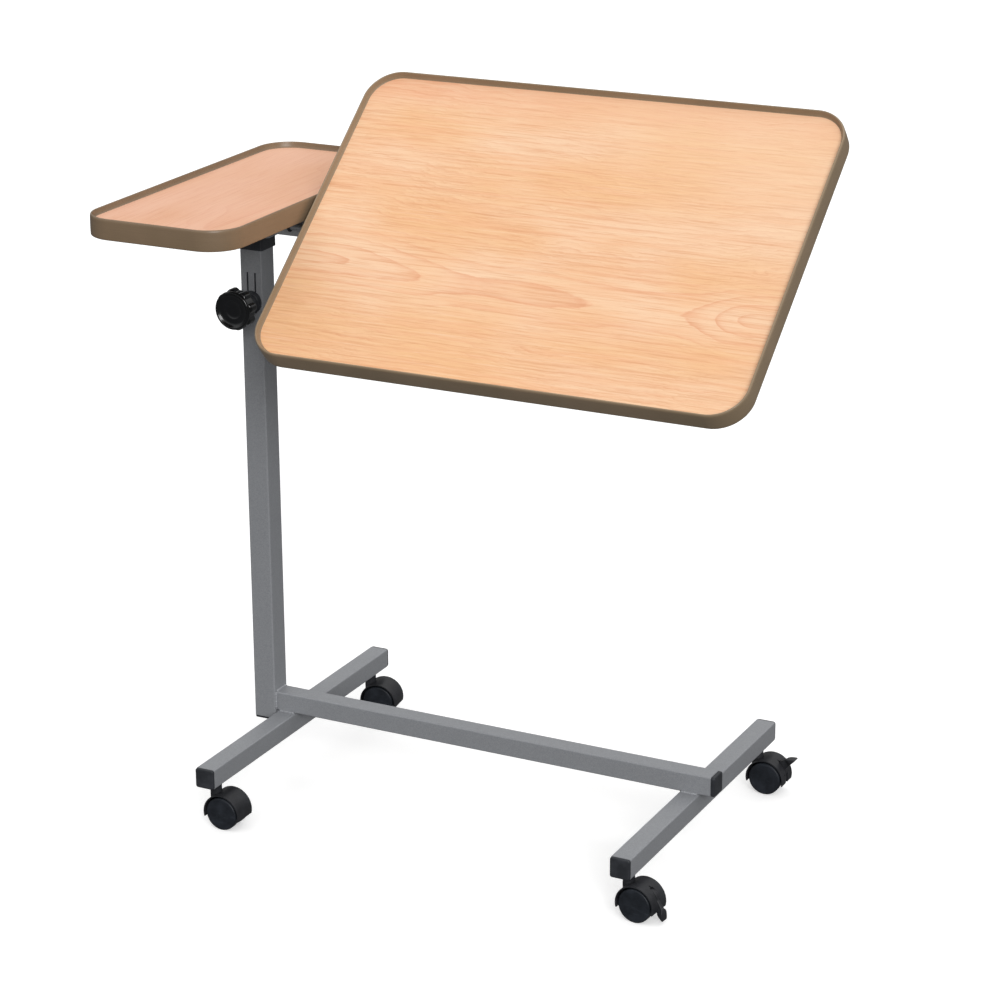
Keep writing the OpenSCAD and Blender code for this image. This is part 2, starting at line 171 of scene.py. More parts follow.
def revolve(profile, n=64, lobes=None):
    """(radius, height[, lobe weight]) pairs turned about Z. lobes(angle) adds to the radius where the weight says so."""
    rings = []
    for p in profile:
        r, z, w = (p + (0.0,))[:3] if len(p) == 2 else p
        ring = []
        for i in range(n):
            a = 2 * pi * i / n
            q = r + (w * lobes(a) if lobes and w else 0)
            ring.append((q * cos(a), q * sin(a), z))
        rings.append(ring)
    return skin(rings, ends=False)


def loft(stations, n=5):
    """Rounded rectangles in the YZ plane at stations (x, width, thickness, z centre[, corner])."""
    rings = []
    for s in stations:
        x, w, t, zc = s[:4]
        c = s[4] if len(s) > 4 else min(w, t) * 0.32
        rings.append([(x, y, z + zc) for y, z in rr(w, t, c, n)])
    return skin(rings)


def sweep(path, radius, n=10, closed=False, flat=1.0):
    """A round rod along a list of points; radius may be a number or one for each point."""
    rings = []
    pts = [Vector(p) for p in path]
    up = None
    for i, p in enumerate(pts):
        t = (pts[min(i + 1, len(pts) - 1)] - pts[max(i - 1, 0)]).normalized()
        if up is None:
            up = t.orthogonal().normalized()
        up = (up - t * up.dot(t)).normalized()
        side = t.cross(up)
        r = radius[i] if isinstance(radius, (list, tuple)) else radius
        rings.append([tuple(p + up * (r * cos(2 * pi * j / n)) + side * (r * flat * sin(2 * pi * j / n))) for j in range(n)])
    return skin(rings)


def tidy(ob, sharp):
    me = ob.data
    me.polygons.foreach_set("use_smooth", [True] * len(me.polygons))
    me.set_sharp_from_angle(angle=rad(sharp))
    mod = ob.modifiers.new("weighted", "WEIGHTED_NORMAL")
    mod.keep_sharp = True
    mod.weight = 60


def make(name, shape, mats, body, stands_for=(), sharp=38.0, weighted=True):
    me = bpy.data.meshes.new(name)
    me.from_pydata([W(p) for p in shape.v], [], shape.f)
    me.polygons.foreach_set("material_index", shape.m)
    bm = bmesh.new()
    bm.from_mesh(me)
    bmesh.ops.remove_doubles(bm, verts=bm.verts, dist=2e-6)
    bmesh.ops.dissolve_degenerate(bm, edges=bm.edges, dist=1e-6)
    bmesh.ops.recalc_face_normals(bm, faces=bm.faces)
    bm.to_mesh(me)
    bm.free()
    ob = bpy.data.objects.new(name, me)
    scene.collection.objects.link(ob)
    for m in (mats if isinstance(mats, (list, tuple)) else [mats]):
        me.materials.append(m)
    if weighted:
        tidy(ob, sharp)
    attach(ob, body)
    if stands_for:
        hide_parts(*stands_for)
    return ob


def refine(node, mat, w=0.3, seg=2, angle=34.0):
    """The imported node's own shape with its creases rounded off, standing for it."""
    src = NODES[node]
    bm = bmesh.new()
    bm.from_mesh(src.data)
    bmesh.ops.remove_doubles(bm, verts=bm.verts, dist=2e-6)
    bmesh.ops.dissolve_limit(bm, angle_limit=rad(0.4), verts=bm.verts, edges=bm.edges, use_dissolve_boundaries=False)
    edges = [e for e in bm.edges if len(e.link_faces) == 2 and e.calc_face_angle(0) > rad(angle)]
    if w > 0 and edges:
        bmesh.ops.bevel(bm, geom=edges, offset=w * 0.001, offset_type="OFFSET", segments=seg, profile=0.5,
                        affect="EDGES", clamp_overlap=False)
    bmesh.ops.recalc_face_normals(bm, faces=bm.faces)
    me = bpy.data.meshes.new(node + "_fine")
    bm.to_mesh(me)
    bm.free()
    ob = bpy.data.objects.new(node + "_fine", me)
    scene.collection.objects.link(ob)
    me.materials.append(mat)
    tidy(ob, 38)
    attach(ob, src["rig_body"])
    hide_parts(node)
    return ob


def cut(vf, cutters):
    """vf with each cutter taken out, by exact boolean, in millimetres."""
    def temp(q, name):
        me = bpy.data.meshes.new(name)
        me.from_pydata([tuple(p) for p in q[0]], [], q[1])
        bm = bmesh.new()
        bm.from_mesh(me)
        bmesh.ops.remove_doubles(bm, verts=bm.verts, dist=1e-4)
        bmesh.ops.recalc_face_normals(bm, faces=bm.faces)
        bm.to_mesh(me)
        bm.free()
        o = bpy.data.objects.new(name, me)
        scene.collection.objects.link(o)
        return o
    base = temp(vf, "cut_base")
    tools = [temp(c, "cut_tool") for c in cutters]
    for t in tools:
        m = base.modifiers.new("b", "BOOLEAN")
        m.operation, m.solver, m.object = "DIFFERENCE", "EXACT", t
    dg = bpy.context.evaluated_depsgraph_get()
    me = bpy.data.meshes.new_from_object(base.evaluated_get(dg))
    out = ([tuple(v.co) for v in me.vertices], [tuple(p.vertices) for p in me.polygons])
    for o in [base] + tools:
        bpy.data.objects.remove(o)
    bpy.data.meshes.remove(me)
    return out


def block(x0, x1, y0, y1, z0, z1):
    v = [(x, y, z) for z in (z0, z1) for x, y in ((x0, y0), (x1, y0), (x1, y1), (x0, y1))]
    return v, [(0, 3, 2, 1), (4, 5, 6, 7), (0, 1, 5, 4), (1, 2, 6, 5), (2, 3, 7, 6), (3, 0, 4, 7)]


# ---------------------------------------------------------------- materials
def lin(r, g, b):
    def f(c):
        c /= 255.0
        return c / 12.92 if c <= 0.04045 else ((c + 0.055) / 1.055) ** 2.4
    return (f(r), f(g), f(b), 1.0)


class Mat:
    """A node material whose patterns come from the object's own coordinates, in millimetres."""

    def __init__(self, name, rough=0.5, metal=0.0, spec=0.5, coat=0.0, coat_rough=0.1, unit=0.001):
        self.m = bpy.data.materials.new(name)
        self.m.use_nodes = True
        self.t = self.m.node_tree
        self.n, self.l = self.t.nodes, self.t.links
        self.b = self.n["Principled BSDF"]
        self.b.inputs["Roughness"].default_value = rough
        self.b.inputs["Metallic"].default_value = metal
        self.b.inputs["Specular IOR Level"].default_value = spec
        self.b.inputs["Coat Weight"].default_value = coat
        self.b.inputs["Coat Roughness"].default_value = coat_rough
        tc = self.n.new("ShaderNodeTexCoord")
        self.P = self.vm("SCALE", tc.outputs["Object"], scale=1.0 / unit)

    def put(self, sock, v):
        if hasattr(v, "is_linked") or hasattr(v, "links"):
            self.l.new(v, sock)
        else:
            sock.default_value = v

    def vm(self, op, a, b=None, scale=None):
        nd = self.n.new("ShaderNodeVectorMath")
        nd.operation = op
        self.put(nd.inputs[0], a)
        if b is not None:
            self.put(nd.inputs[1], b)
        if scale is not None:
            nd.inputs["Scale"].default_value = scale
        return nd.outputs["Value"] if op in ("LENGTH", "DOT_PRODUCT", "DISTANCE") else nd.outputs["Vector"]

    def ma(self, op, a, b=None, c=None, clamp=False):
        nd = self.n.new("ShaderNodeMath")
        nd.operation = op
        nd.use_clamp = clamp
        self.put(nd.inputs[0], a)
        if b is not None:
            self.put(nd.inputs[1], b)
        if c is not None:
            self.put(nd.inputs[2], c)
        return nd.outputs[0]

    def mapr(self, v, a, b, c=0.0, d=1.0, smooth=True):
        nd = self.n.new("ShaderNodeMapRange")
        nd.interpolation_type = "SMOOTHSTEP" if smooth else "LINEAR"
        self.put(nd.inputs["Value"], v)
        for k, q in (("From Min", a), ("From Max", b), ("To Min", c), ("To Max", d)):
            nd.inputs[k].default_value = q
        return nd.outputs[0]

    def mapping(self, v, loc=(0, 0, 0), rot=(0, 0, 0), scale=(1, 1, 1), kind="POINT"):
        nd = self.n.new("ShaderNodeMapping")
        nd.vector_type = kind
        self.put(nd.inputs["Vector"], v)
        nd.inputs["Location"].default_value = loc
        nd.inputs["Rotation"].default_value = rot
        nd.inputs["Scale"].default_value = scale
        return nd.outputs["Vector"]

    def noise(self, v, scale=1.0, detail=2.0, rough=0.5, dist=0.0, colour=False):
        nd = self.n.new("ShaderNodeTexNoise")
        self.put(nd.inputs["Vector"], v)
        nd.inputs["Scale"].default_value = scale
        nd.inputs["Detail"].default_value = detail
        nd.inputs["Roughness"].default_value = rough
        nd.inputs["Distortion"].default_value = dist
        return nd.outputs["Color" if colour else 0]

    def voronoi(self, v, scale=1.0, feature="F1", smooth=None, out="Distance"):
        nd = self.n.new("ShaderNodeTexVoronoi")
        nd.feature = feature
        self.put(nd.inputs["Vector"], v)
        nd.inputs["Scale"].default_value = scale
        if smooth is not None:
            nd.inputs["Smoothness"].default_value = smooth
        return nd.outputs[out]

    def curve(self, v, lo, hi, pts, out_lo, out_hi):
        """A smooth graph through (input, output) pairs, inputs lo..hi and outputs out_lo..out_hi."""
        t = self.mapr(v, lo, hi, 0.0, 1.0, smooth=False)
        nd = self.n.new("ShaderNodeFloatCurve")
        c = nd.mapping.curves[0]
        q = [((x - lo) / (hi - lo), (y - out_lo) / (out_hi - out_lo)) for x, y in pts]
        c.points[0].location, c.points[1].location = q[0], q[-1]
        for x in q[1:-1]:
            c.points.new(*x)
        nd.mapping.update()
        self.put(nd.inputs["Value"], t)
        return self.mapr(nd.outputs[0], 0.0, 1.0, out_lo, out_hi, smooth=False)

    def sep(self, v):
        nd = self.n.new("ShaderNodeSeparateXYZ")
        self.put(nd.inputs[0], v)
        return nd.outputs

    def comb(self, x, y, z=0.0):
        nd = self.n.new("ShaderNodeCombineXYZ")
        for i, q in enumerate((x, y, z)):
            self.put(nd.inputs[i], q)
        return nd.outputs[0]

    def mix(self, f, a, b, kind="MIX"):
        nd = self.n.new("ShaderNodeMix")
        nd.data_type = "RGBA"
        nd.blend_type = kind
        self.put(nd.inputs[0], f)
        self.put(nd.inputs[6], a)
        self.put(nd.inputs[7], b)
        return nd.outputs[2]

    def bump(self, h, strength=0.3, dist=0.0002, normal=None):
        nd = self.n.new("ShaderNodeBump")
        nd.inputs["Strength"].default_value = strength
        nd.inputs["Distance"].default_value = dist
        self.put(nd.inputs["Height"], h)
        if normal is not None:
            self.l.new(normal, nd.inputs["Normal"])
        return nd.outputs["Normal"]

    def done(self, colour=None, rough=None, normal=None, metal=None):
        if colour is not None:
            self.put(self.b.inputs["Base Color"], colour)
        if rough is not None:
            self.put(self.b.inputs["Roughness"], rough)
        if metal is not None:
            self.put(self.b.inputs["Metallic"], metal)
        if normal is not None:
            self.l.new(normal, self.b.inputs["Normal"])
        return self.m


def hammertone(name="hammertone_paint", lo=(128, 130, 134), hi=(166, 168, 172), dark=(112, 114, 118)):
    m = Mat(name, rough=0.42, metal=0.2, spec=0.4, coat=0.08, coat_rough=0.25)
    warp = m.vm("SCALE", m.noise(m.P, 0.5, 2, colour=True), scale=1.2)
    q = m.vm("ADD", m.P, warp)
    cells = m.voronoi(q, 0.85, "SMOOTH_F1", 0.7)
    tone = m.sep(m.voronoi(q, 0.85, "F1", out="Color"))[0]
    flake = m.noise(m.P, 3.2, 3, 0.7)
    broad = m.noise(m.P, 0.018, 3, 0.55)
    streak = m.noise(m.mapping(m.P, scale=(0.03, 0.03, 0.25)), 1.0, 3, 0.6)
    v = m.ma("ADD", m.mapr(tone, 0, 1, -0.3, 0.3, False), m.mapr(flake, 0.25, 0.75, -0.8, 0.8, False))
    v = m.ma("MULTIPLY_ADD", v, 0.5, 0.5, clamp=True)
    c = m.mix(v, lin(*lo), lin(*hi))
    c = m.mix(m.mapr(cells, 0.15, 0.75, 0, 0.14), c, lin(*dark))
    c = m.mix(m.mapr(broad, 0.3, 0.7, 0.0, 0.12), c, lin(*(k + 4 for k in lo)))
    c = m.mix(m.mapr(streak, 0.55, 0.8, 0.0, 0.10), c, lin(*dark))
    h = m.ma("ADD", m.ma("MULTIPLY", cells, 0.9), m.ma("MULTIPLY", flake, 0.35))
    rough = m.mapr(flake, 0.2, 0.8, 0.34, 0.5, False)
    return m.done(c, rough, m.bump(h, 0.4, 0.0002))


def plastic(name, base, hi, rough, texture=0.35, grain=1.3, spec=0.45, coat=0.0, scuff=0.5):
    m = Mat(name, rough=rough, spec=spec, coat=coat, coat_rough=0.12)
    fine = m.noise(m.P, grain, 3, 0.6)
    broad = m.noise(m.P, 0.06, 4, 0.6)
    streak = m.noise(m.mapping(m.P, scale=(0.05, 0.4, 0.4)), 1.0, 4, 0.7)
    f = m.ma("ADD", m.mapr(broad, 0.35, 0.7, 0.0, 0.6), m.mapr(streak, 0.55, 0.75, 0.0, scuff))
    f = m.ma("ADD", f, m.mapr(fine, 0.4, 0.8, 0.0, 0.3), clamp=True)
    c = m.mix(f, base, hi)
    r = m.mapr(m.ma("ADD", broad, m.ma("MULTIPLY", streak, 0.5)), 0.5, 1.1, rough - 0.07, rough + 0.1, False)
    return m.done(c, r, m.bump(fine, texture, 0.00012))


def edging_brown(name, k=1.0, g=0, b=0):
    # k scales the brown's brightness and g, b tint it; the main top's k of 1.13 and its grey tint are painted light
    m = Mat(name, rough=0.34, spec=0.4)
    broad = m.noise(m.P, 0.012, 3, 0.5)
    fine = m.noise(m.P, 1.6, 3, 0.6)
    draw = m.noise(m.mapping(m.P, scale=(0.02, 0.02, 1.4)), 1.0, 3, 0.6)
    c = m.mix(m.mapr(broad, 0.3, 0.7), lin(124 * k, 105 * k + g, 83 * k + b), lin(133 * k, 112 * k + g, 90 * k + b))
    c = m.mix(m.mapr(draw, 0.35, 0.75, 0, 0.30), c, lin(112 * k, 93 * k + g, 73 * k + b))
    c = m.mix(m.mapr(fine, 0.5, 0.85, 0, 0.35), c, lin(150 * k, 129 * k + g, 104 * k + b))
    r = m.mapr(m.ma("ADD", fine, draw), 0.6, 1.4, 0.28, 0.4, False)
    h = m.ma("ADD", m.ma("MULTIPLY", fine, 0.5), m.ma("MULTIPLY", draw, 0.6))
    return m.done(c, r, m.bump(h, 0.22, 0.00012))


def laminate(name, centre, rot, flames, dcurve, vcurve, cols, half_u, seed=0.0, ring=11.0, line=0.92, tone=1.0):
    """Printed beech: growth rings cut nearly flat, so they close into long flames along a middle line; fine streaks and
    flecks run with the grain. u is along the grain and v across it, in millimetres from the board's middle."""
    m = Mat(name, rough=0.54, spec=0.2, unit=1.0)
    p = m.mapping(m.P, loc=centre, rot=rot, scale=(0.001, 0.001, 0.001), kind="TEXTURE")
    s = m.sep(p)
    u, v = s[0], s[1]
    # slow waviness of the whole sheet
    w1 = m.noise(m.mapping(p, loc=(seed, seed * 0.7, 0), scale=(0.006, 0.012, 0.0)), 1.0, 2, 0.5)
    w2 = m.noise(m.mapping(p, loc=(seed + 7, 3, 0), scale=(0.028, 0.06, 0.0)), 1.0, 2, 0.55)
    wav = m.ma("ADD", m.mapr(w1, 0.2, 0.8, -9, 9, False), m.mapr(w2, 0.2, 0.8, -2.2, 2.2, False))
    far = m.mapr(m.ma("ABSOLUTE", m.ma("ADD", v, 78.0)), 15, 70, 0.12, 1.0)
    q = m.ma("SUBTRACT", v, m.curve(u, -half_u, half_u, vcurve, -220, 220))
    q = m.ma("ADD", q, m.ma("MULTIPLY", wav, far))
    d = m.curve(u, -half_u, half_u, dcurve, 0.0, 60.0)
    q = m.ma("ADD", q, m.mapr(w2, 0.2, 0.8, -1.2, 1.2, False))
    r = m.ma("SQRT", m.ma("ADD", m.ma("MULTIPLY", q, q), m.ma("MULTIPLY", d, d)))
    for (fu, fv, a, b, amp) in flames:
        g = m.vm("LENGTH", m.mapping(p, loc=(fu, fv, 0), scale=(a, b, 1000.0), kind="TEXTURE"))
        g = m.ma("EXPONENT", m.ma("MULTIPLY", m.ma("MULTIPLY", g, g), -1.0))
        r = m.ma("MULTIPLY_ADD", g, amp, r)
    jit = m.noise(m.mapping(p, loc=(1.0, seed, 2.0), scale=(0.05, 0.25, 0.0)), 1.0, 3, 0.6)
    R = m.ma("ADD", m.ma("DIVIDE", r, ring), m.mapr(jit, 0.2, 0.8, -0.05, 0.05, False))
    # rings: slow darkening to a thin dark edge, then a sudden return
    t = m.ma("FRACT", R)
    edge = m.ma("MULTIPLY", m.ma("POWER", t, 7.0), m.mapr(t, 0.955, 1.0, 1.0, 0.0))
    soft = m.ma("POWER", t, 2.2)
    fade = m.noise(m.mapping(p, loc=(seed, 9, 4), scale=(0.011, 0.03, 0.0)), 1.0, 3, 0.6)
    near = m.ma("MAXIMUM", m.mapr(m.ma("ABSOLUTE", q), 24, 48, 1.0, 0.42), m.mapr(v, 160, 195, 0.0, 1.0))
    k = m.ma("MULTIPLY", m.mapr(fade, 0.3, 0.65, 0.35, 1.0), near)
    # closer, fainter rings in between
    R2 = m.ma("ADD", m.ma("DIVIDE", r, ring * 0.41), m.mapr(jit, 0.2, 0.8, -0.5, 0.5, False))
    t2 = m.ma("FRACT", R2)
    e2 = m.ma("MULTIPLY", m.ma("POWER", t2, 3.0), m.mapr(t2, 0.9, 1.0, 1.0, 0.0))
    k2 = m.ma("MULTIPLY", m.mapr(w1, 0.35, 0.7, 0.25, 1.0), m.mapr(m.ma("ABSOLUTE", q), 18, 60, 0.2, 1.0))
    # streaks, pores and flecks along the grain
    g1 = m.noise(m.mapping(p, loc=(seed, 1, 1), scale=(0.006, 0.11, 0.0)), 1.0, 4, 0.6)
    g2 = m.noise(m.mapping(p, loc=(2, seed, 1), scale=(0.035, 0.75, 0.0)), 1.0, 4, 0.7)
    g3 = m.noise(m.mapping(p, loc=(3, 1, seed), scale=(0.22, 1.9, 0.0)), 1.0, 3, 0.7)
    blot = m.noise(m.mapping(p, loc=(seed, 5, 8), scale=(0.0045, 0.009, 0.0)), 1.0, 2, 0.5)
    pale, warm, dark, pink = cols
    c = m.mix(m.mapr(blot, 0.32, 0.68), pale, warm)
    c = m.mix(m.mapr(g1, 0.36, 0.7, 0.0, 0.55 * tone), c, m.mix(0.5, warm, pink))
    c = m.mix(m.ma("MULTIPLY", m.ma("MULTIPLY", soft, k), 0.30 * line), c, pink)
    c = m.mix(m.ma("MULTIPLY", m.ma("MULTIPLY", edge, k), 1.0 * line), c, m.mix(0.55, dark, pink))
    c = m.mix(m.ma("MULTIPLY", m.ma("MULTIPLY", e2, k2), 0.42 * line), c, dark)
    g4 = m.noise(m.mapping(p, loc=(seed, 2, 6), scale=(0.009, 0.36, 0.0)), 1.0, 3, 0.65, 0.15)
    g5 = m.noise(m.mapping(p, loc=(4, seed, 3), scale=(0.016, 0.62, 0.0)), 1.0, 2, 0.6)
    c = m.mix(m.mapr(g4, 0.50, 0.68, 0.0, 0.40 * tone), c, dark)
    c = m.mix(m.mapr(g4, 0.46, 0.30, 0.0, 0.38 * tone), c, pale)
    c = m.mix(m.mapr(g5, 0.54, 0.72, 0.0, 0.34 * tone), c, dark)
    far_edge = m.mapr(m.ma("ADD", v, m.mapr(w2, 0.2, 0.8, -14, 14, False)), 150, 200, 0.0, 0.45 * tone)
    c = m.mix(far_edge, c, pink)
    c = m.mix(m.mapr(m.ma("ADD", m.ma("MULTIPLY", v, 0.8), m.ma("MULTIPLY", u, 0.45)), 20, 230, 0.0, 0.4), c, pale)
    c = m.mix(m.mapr(g2, 0.52, 0.78, 0.0, 0.42 * tone), c, dark)
    c = m.mix(m.mapr(g2, 0.46, 0.24, 0.0, 0.5), c, pale)
    c = m.mix(m.mapr(g3, 0.6, 0.8, 0.0, 0.30 * tone), c, dark)
    rough = m.mapr(g2, 0.2, 0.8, 0.5, 0.6, False)
    h = m.ma("ADD", m.ma("MULTIPLY", g3, -0.6), m.ma("MULTIPLY", g2, -0.4))
    return m.done(c, rough, m.bump(h, 0.12, 0.0001))


def zinc():
    m = Mat("zinc_steel", rough=0.34, metal=0.9, spec=0.5)
    spangle = m.voronoi(m.vm("ADD", m.P, m.vm("SCALE", m.noise(m.P, 0.4, 2, colour=True), scale=2.0)), 0.32, "F1", out="Color")
    s = m.sep(spangle)[0]
    fine = m.noise(m.P, 1.1, 4, 0.7)
    c = m.mix(s, lin(168, 170, 174), lin(198, 200, 203))
    c = m.mix(m.mapr(fine, 0.5, 0.8, 0, 0.35), c, lin(140, 140, 140))
    return m.done(c, m.mapr(fine, 0.2, 0.8, 0.26, 0.46, False), m.bump(fine, 0.15, 0.0001))


def brass():
    m = Mat("brass", rough=0.3, metal=0.9)
    fine = m.noise(m.mapping(m.P, scale=(1, 6, 1)), 0.8, 4, 0.6)
    c = m.mix(m.mapr(fine, 0.3, 0.75), lin(205, 168, 96), lin(176, 136, 70))
    return m.done(c, m.mapr(fine, 0.2, 0.8, 0.22, 0.42, False), m.bump(fine, 0.12, 0.0001))


def board_back():
    m = Mat("chipboard", rough=0.72, spec=0.3)
    chips = m.voronoi(m.mapping(m.P, scale=(0.45, 0.3, 0.5)), 1.0, "F1", out="Color")
    s = m.sep(chips)[0]
    fibre = m.noise(m.mapping(m.P, scale=(0.5, 1.6, 1.0)), 1.0, 4, 0.7)
    broad = m.noise(m.P, 0.015, 3, 0.5)
    c = m.mix(s, lin(196, 176, 146), lin(208, 190, 160))
    c = m.mix(m.mapr(fibre, 0.45, 0.75, 0, 0.5), c, lin(176, 152, 120))
    c = m.mix(m.mapr(broad, 0.3, 0.7, 0, 0.3), c, lin(186, 166, 138))
    return m.done(c, m.mapr(fibre, 0.2, 0.8, 0.62, 0.8, False), m.bump(m.ma("ADD", s, fibre), 0.2, 0.00015))


PAINT = hammertone()
# the same hammertone paint made lighter for the arm and brackets: painted light, brightening parts that sit in the side
# top's shadow
PAINT_LIGHTENED_ARM = hammertone("hammertone_paint_arm_painted_light", (176, 179, 183), (208, 210, 214), (150, 152, 156))
CAP = plastic("black_plastic", lin(38, 40, 44), lin(58, 60, 65), 0.46, 0.35, 1.5, spec=0.3)
GLOSS = plastic("black_gloss", lin(9, 10, 13), lin(17, 19, 23), 0.2, 0.05, 0.6, spec=0.4, coat=0.25, scuff=0.25)
HOOD = plastic("caster_plastic", lin(33, 34, 37), lin(52, 53, 57), 0.42, 0.35, 1.8, spec=0.28)
WHEEL = plastic("caster_wheel", lin(26, 29, 34), lin(46, 50, 57), 0.4, 0.3, 1.2, spec=0.25, scuff=0.8)
ZINC, BRASS, BOARD = zinc(), brass(), board_back()
# the main top's edging is the side's brown made brighter and a little greyer: painted light and painted sheen for its
# downward-facing edges, which get little light
EDGE, EDGE_SIDE = edging_brown("brown_edging", 1.13, 3, 4), edging_brown("brown_edging_side", 0.99)

# ---------------------------------------------------------------- the two tops
MW, MD, SW, SD, R0, EH = 610.0, 420.0, 201.0, 450.0, 42.0, 25.2
_slo, _shi = mm("side_edging")
SX, SY, TOP = (_slo.x + _shi.x) / 2, (_slo.y + _shi.y) / 2, _shi.z
BASE_Z = TOP - EH
_mlo, _mhi = mm("main_edging")
MX = (_mlo.x + _mhi.x) / 2
MY = PY + 3.0                                # the flat board's middle, just behind the axle
LIP = [(1.5, 0.0), (0.8, 0.1), (0.25, 0.5), (0.02, 1.2), (-0.08, 4), (-0.14, 8), (-0.16, 12), (-0.12, 16), (0.0, 21.6),
       (0.1, 22.8), (0.4, 23.9), (0.85, 24.7), (1.35, 25.08), (1.8, 25.2), (2.2, 25.12), (2.55, 24.8), (2.82, 24.2), (3.0, 23.4),
       (3.3, 22.1), (3.7, 20.7), (4.2, 19.4), (4.75, 18.5), (5.15, 18.12), (5.38, 18.02), (5.38, 17.3), (2.75, 17.25), (2.65, 17.1),
       (2.65, 2.1), (5.8, 2.0), (6.0, 1.8), (6.0, 0.3), (5.7, 0.0)]


def edging_shape(w, d):
    return prism(w, d, R0, LIP, n=22, wrap=True)


def top_xf(x, y):
    return at(x, y, BASE_Z)


make("side_top_edging", Shape().add(edging_shape(SW, SD), top_xf(SX, SY)), EDGE_SIDE, "lift", ["side_edging"], 50)
make("main_top_edging", Shape().add(edging_shape(MW, MD), TILT @ top_xf(MX, MY)), EDGE, "main_top", ["main_edging"], 50)


def sheet_shape(w, d):
    o = 5.42
    return prism(w, d, R0, [(o + 0.1, 17.22), (o, 17.3), (o, 17.9), (o + 0.1, 18.0), (o + 1.0, 18.0)], n=22)


LAM_Z = BASE_Z + 18.0
_mc = TILT @ Vector((MX, MY, LAM_Z))
_sc = Vector((SX, SY, LAM_Z))
MAIN_LAM = laminate(
    "beech_laminate", W(_mc), (rad(TILT_DEG), 0, 0),
    flames=[(40, 66, 85, 12, 9), (272, 62, 13, 6, 7), (268, -18, 16, 6, 8), (-116, 198, 16, 8, 7), (20, 202, 24, 6, 7),
            (75, 203, 18, 5, 6), (150, 203, 46, 10, 11), (-160, 112, 120, 17, -5), (200, 138, 100, 15, 5), (-40, 24, 150, 13, 4),
            (-120, -150, 130, 14, 4), (140, -160, 110, 12, -4)],
    dcurve=[(-320, 2), (-262, 7), (-226, 11), (-167, 18), (-130, 22), (-70, 30.2), (0, 29.3), (30, 30), (86, 33), (125, 35), (160, 35),
            (194, 33), (233, 22), (258, 11), (290, 4), (320, 2)],
    vcurve=[(-320, -68), (-226, -66), (-130, -76), (0, -79), (86, -83), (194, -81), (320, -76)],
    cols=(lin(240, 204, 170), lin(235, 187, 140), lin(205, 139, 96), lin(232, 169, 134)), half_u=320)
SIDE_LAM = laminate(
    "beech_laminate_side", W(_sc), (0, 0, rad(90)),
    flames=[(90, -30, 60, 10, 8), (150, -52, 26, 9, 7), (-60, 30, 90, 12, 6), (40, 40, 110, 12, -5), (-140, -30, 60, 10, 5)],
    dcurve=[(-240, 40), (-120, 30), (-40, 24), (60, 30), (120, 22), (160, 12), (240, 4)],
    vcurve=[(-240, -60), (-60, -44), (60, -50), (160, -46), (240, -50)],
    cols=(lin(236, 188, 160), lin(230, 178, 144), lin(204, 138, 104), lin(226, 163, 134)), half_u=240, seed=11.0, ring=12.0, line=0.42, tone=0.6)
make("side_top_laminate", Shape().add(sheet_shape(SW, SD), top_xf(SX, SY)), SIDE_LAM, "lift", ["side_laminate"])
make("main_top_laminate", Shape().add(sheet_shape(MW, MD), TILT @ top_xf(MX, MY)), MAIN_LAM, "main_top", ["main_laminate"])
refine("side_board", BOARD, w=0.2)
refine("main_board", BOARD, w=0.2)

# ---------------------------------------------------------------- tubes
for n in ("column_tube", "base_rail", "left_leg", "right_leg", "inner_tube"):
    refine(n, PAINT, w=0.3)
# arm and brackets take the lightened paint, painted light for the side top's shadow
refine("support_arm", PAINT_LIGHTENED_ARM, w=0.3)
refine("side_top_brackets", PAINT_LIGHTENED_ARM, w=0.45)
for n in ("head_plate", "axle_lug", "hinge_bracket_left", "hinge_bracket_right"):
    refine(n, PAINT, w=0.45)
for n in ("tilt_sector", "release_lever", "tilt_axle", "caster_stems", "lever_pin", "clamp_stud"):
    refine(n, ZINC, w=0.3)
refine("clamp_pad", BRASS, w=0.3)
for n in ("inner_glide", "stem_sockets", "hinge_bushes", "column_foot_plug"):
    refine(n, CAP, w=0.35)


# ---------------------------------------------------------------- push-in caps
def cap_shape(s, t, proud, fillet=1.5, r=3.0):
    """Head below z = 0, hollow plug above it."""
    f, p = fillet, -proud
    prof = [(2.2, p), (f + 0.2, p), (f * 0.55, p + f * 0.14), (f * 0.2, p + f * 0.45), (0.02, p + f), (0, -0.55), (0.12, -0.3),
            (0.3, -0.15), (t + 0.6, -0.1), (t + 0.1, 0.2)]
    v, fc = prism(s, s, r, prof, n=7)
    plug = prism(s - 2 * t - 0.2, s - 2 * t - 0.2, 1, [(0, 0.05), (0, 12.6), (0.5, 13.7), (0.8, 14), (1.5, 14), (1.6, 13.5), (1.6, 0.3), (1.4, 0.05)], n=4, wrap=True)
    n0 = len(v)
    return v + plug[0], fc + [tuple(i + n0 for i in q) for q in plug[1]]


